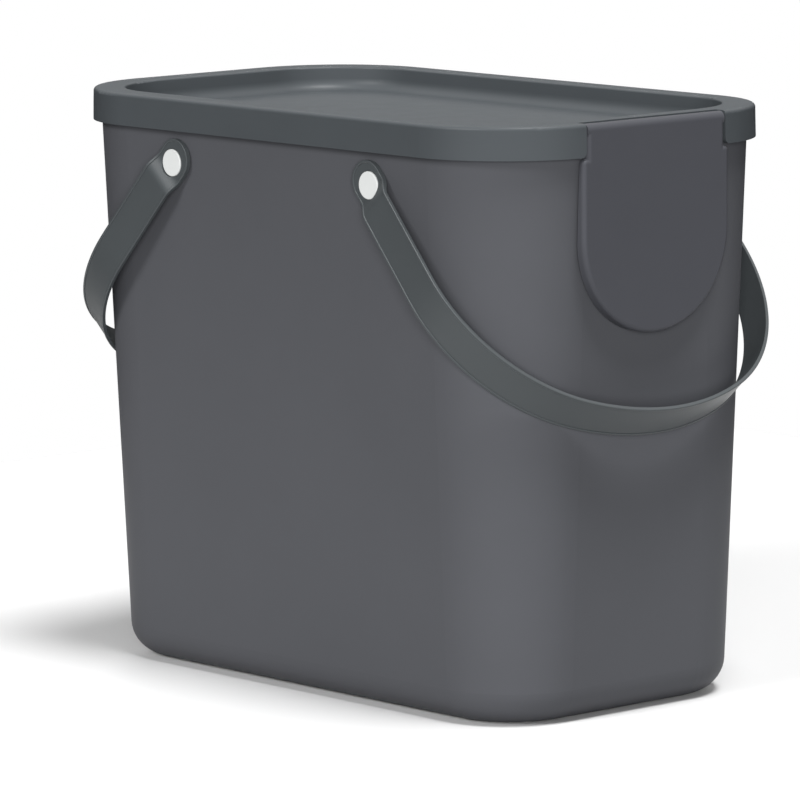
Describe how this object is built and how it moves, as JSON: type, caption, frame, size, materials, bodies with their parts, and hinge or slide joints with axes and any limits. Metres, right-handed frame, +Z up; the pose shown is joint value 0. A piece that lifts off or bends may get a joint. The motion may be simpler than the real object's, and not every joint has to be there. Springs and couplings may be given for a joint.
{
  "type": "waste bin",
  "caption": "Tapered waste bin with a tray-topped lift-off lid, a hinged end flap to throw waste in, and swinging strap handles.",
  "frame": {"origin": "middle of the bin's footprint, on the surface it stands on", "axes": "+Z up, the flap faces -Y, and X runs across the bin"},
  "size_m": [0.243, 0.431, 0.34],
  "materials": {
    "tub": "fine moulded texture, satin",
    "lid": "satin moulded plastic",
    "flap": "satin moulded plastic",
    "handle": "satin moulded plastic",
    "button": "white moulded plastic"
  },
  "bodies": {
    "tub": {"tub": "tub", "front_left_button": "button", "front_right_button": "button", "rear_left_button": "button", "rear_right_button": "button"},
    "lid": {"lid": "lid"},
    "flap": {"front_flap": "flap"},
    "front_handle": {"front_handle": "handle"},
    "rear_handle": {"rear_handle": "handle"}
  },
  "joints": [
    {"name": "lid_lift", "type": "slide", "parent": "tub", "child": "lid", "axis": [0, 0, 1], "range_m": [0, 0.032]},
    {"name": "flap_hinge", "type": "hinge", "parent": "lid", "child": "flap", "pos_m": [0, -0.196, 0.3357], "axis": [-1, 0, 0], "range_deg": [0, 95]},
    {"name": "front_handle_swing", "type": "hinge", "parent": "tub", "child": "front_handle", "pos_m": [0, -0.0865, 0.3021], "axis": [-1, 0, 0], "range_deg": [0, 162]},
    {"name": "rear_handle_swing", "type": "hinge", "parent": "tub", "child": "rear_handle", "pos_m": [0, 0.0865, 0.3021], "axis": [1, 0, 0], "range_deg": [0, 162]}
  ]
}
